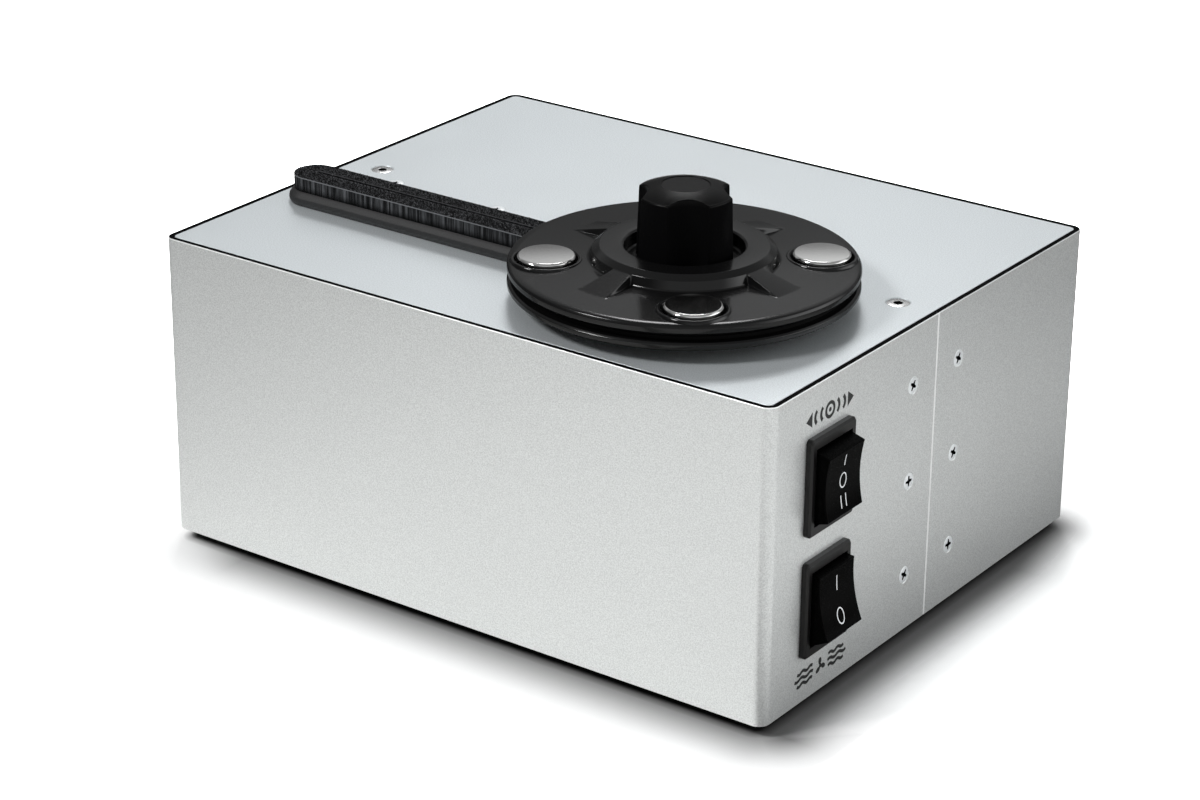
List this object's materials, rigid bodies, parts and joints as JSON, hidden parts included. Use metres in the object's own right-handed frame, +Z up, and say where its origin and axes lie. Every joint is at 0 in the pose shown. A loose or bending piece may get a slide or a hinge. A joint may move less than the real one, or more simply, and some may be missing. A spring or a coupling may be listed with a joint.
{
  "type": "record cleaning machine",
  "caption": "Box-shaped record cleaning machine with a suction brush strip, a magnetic label clamp on a turntable and rocker switches.",
  "frame": {"origin": "on the surface the feet stand on, under the middle of the casing", "axes": "+X to the right along the front face, +Y from the front face to the back, +Z up"},
  "size_m": [0.2487, 0.2093, 0.1481],
  "materials": {
    "panel": "satin, fine grain",
    "deck_panel": "satin, fine grain",
    "base_sheet": "matt black",
    "bracket_aluminium": "mill finish",
    "zinc_steel": "bright zinc",
    "bright_steel": "turned",
    "soft_rubber": "matt",
    "brush_rubber": "satin",
    "bristles": "fibrous",
    "tank_plastic": "moulded, natural",
    "blower_plastic": "moulded",
    "motor_steel": "plated",
    "acetal": "moulded",
    "bush_bronze": "plain",
    "capacitor_can": "drawn",
    "platter_plastic": "fine grain",
    "clamp_plastic": "fine grain",
    "magnet_nickel": "nickel plated",
    "switch_plastic": "satin",
    "rocker_plastic": "gloss"
  },
  "bodies": {
    "casing": {"front_casing": "panel", "rear_casing": "panel", "top_plate": "deck_panel", "base_plate": "base_sheet", "left_splice_bracket": "bracket_aluminium", "right_splice_bracket": "bracket_aluminium", "motor_bracket": "bracket_aluminium", "blower_bracket": "bracket_aluminium", "bearing_housing": "bracket_aluminium", "side_screws": "zinc_steel", "duct_screws": "zinc_steel", "base_plate_screws": "zinc_steel", "foot_screws": "zinc_steel", "motor_screws": "zinc_steel", "bracket_screws": "zinc_steel", "bearing_screws": "zinc_steel", "lid_screws": "zinc_steel", "top_plate_screws": "bright_steel", "rocker_pins": "bright_steel", "feet": "soft_rubber", "duct_seal": "soft_rubber", "tank_gasket": "soft_rubber", "air_sleeve": "soft_rubber", "brush_base": "brush_rubber", "front_bristle_row": "bristles", "rear_bristle_row": "bristles", "suction_duct": "tank_plastic", "waste_tank": "tank_plastic", "tank_lid": "tank_plastic", "drain_tube": "tank_plastic", "blower_housing": "blower_plastic", "blower_motor": "motor_steel", "drive_motor": "motor_steel", "spindle_bushes": "bush_bronze", "switch_terminals": "bush_bronze", "inlet_pins": "bush_bronze", "run_capacitor": "capacitor_can", "motor_switch_body": "switch_plastic", "vacuum_switch_body": "switch_plastic", "mains_inlet": "switch_plastic"},
    "turntable": {"spindle": "bright_steel", "spindle_gear": "acetal", "spindle_clip": "zinc_steel", "platter": "platter_plastic", "platter_screws": "zinc_steel", "platter_keepers": "bright_steel", "platter_mat": "soft_rubber"},
    "clamp": {"clamp_disc": "clamp_plastic", "clamp_seal": "soft_rubber", "clamp_magnets": "magnet_nickel", "clamp_knob": "clamp_plastic", "clamp_screws": "zinc_steel"},
    "motor_drive": {"drive_shaft": "bright_steel", "drive_pinion": "bush_bronze"},
    "blower_rotor": {"blower_shaft": "bright_steel", "blower_impeller": "blower_plastic"},
    "motor_rocker": {"motor_rocker": "rocker_plastic"},
    "vacuum_rocker": {"vacuum_rocker": "rocker_plastic"},
    "drain_plug": {"drain_plug": "soft_rubber"}
  },
  "joints": [
    {"name": "platter_spin", "type": "hinge", "parent": "casing", "child": "turntable", "pos_m": [0.0485, -0.0375, 0.11], "axis": [0, 0, 1], "continuous": true},
    {"name": "drive_spin", "type": "hinge", "parent": "casing", "child": "motor_drive", "pos_m": [0.0485, -0.0705, 0.05], "axis": [0, 0, 1], "continuous": true},
    {"name": "blower_spin", "type": "hinge", "parent": "casing", "child": "blower_rotor", "pos_m": [-0.03, 0.03, 0.06], "axis": [0, 1, 0], "continuous": true},
    {"name": "clamp_lift", "type": "slide", "parent": "turntable", "child": "clamp", "axis": [0, 0, 1], "range_m": [0, 0.03]},
    {"name": "motor_rocker_tilt", "type": "hinge", "parent": "casing", "child": "motor_rocker", "pos_m": [0.1184, -0.0639, 0.0772], "axis": [0, 1, 0], "range_deg": [-10, 10]},
    {"name": "vacuum_rocker_tilt", "type": "hinge", "parent": "casing", "child": "vacuum_rocker", "pos_m": [0.1184, -0.0639, 0.036], "axis": [0, 1, 0], "range_deg": [0, 20]},
    {"name": "drain_plug_pull", "type": "slide", "parent": "casing", "child": "drain_plug", "axis": [0, 1, 0], "range_m": [0, 0.03]}
  ],
  "couplings": [
    {"joint": "drive_spin", "follows": "platter_spin", "ratio": -2.6667}
  ]
}
